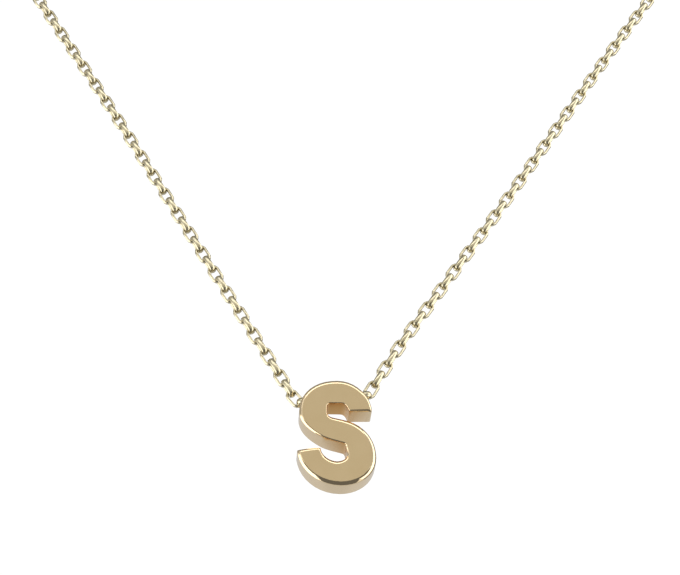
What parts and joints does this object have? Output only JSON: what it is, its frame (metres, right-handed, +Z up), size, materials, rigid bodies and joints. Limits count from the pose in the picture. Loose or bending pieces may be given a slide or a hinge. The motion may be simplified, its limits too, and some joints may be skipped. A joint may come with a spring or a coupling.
{
  "type": "initial pendant necklace",
  "caption": "Block letter pendant with rounded edges, threaded through its upper bowl on a fine cable chain with a spring ring clasp.",
  "frame": {"origin": "middle of the spring ring at the back of the loop, where the necklace hangs on the nape", "axes": "+Z up, front of the letter faces -Y, +X to the right as seen from the front"},
  "size_m": [0.1286, 0.087, 0.1272],
  "materials": {
    "letter": "high polish yellow gold",
    "chain": "high polish yellow gold",
    "fittings": "high polish yellow gold"
  },
  "bodies": {
    "necklace": {"chain": "chain", "clasp": "fittings", "end_ring": "fittings"},
    "letter": {"initial": "letter"}
  },
  "joints": [
    {"name": "letter_swing", "type": "hinge", "parent": "necklace", "child": "letter", "pos_m": [-0.0025, -0.084, -0.1168], "axis": [0.9925, 0, 0.1219], "range_deg": [-60, 60]}
  ]
}
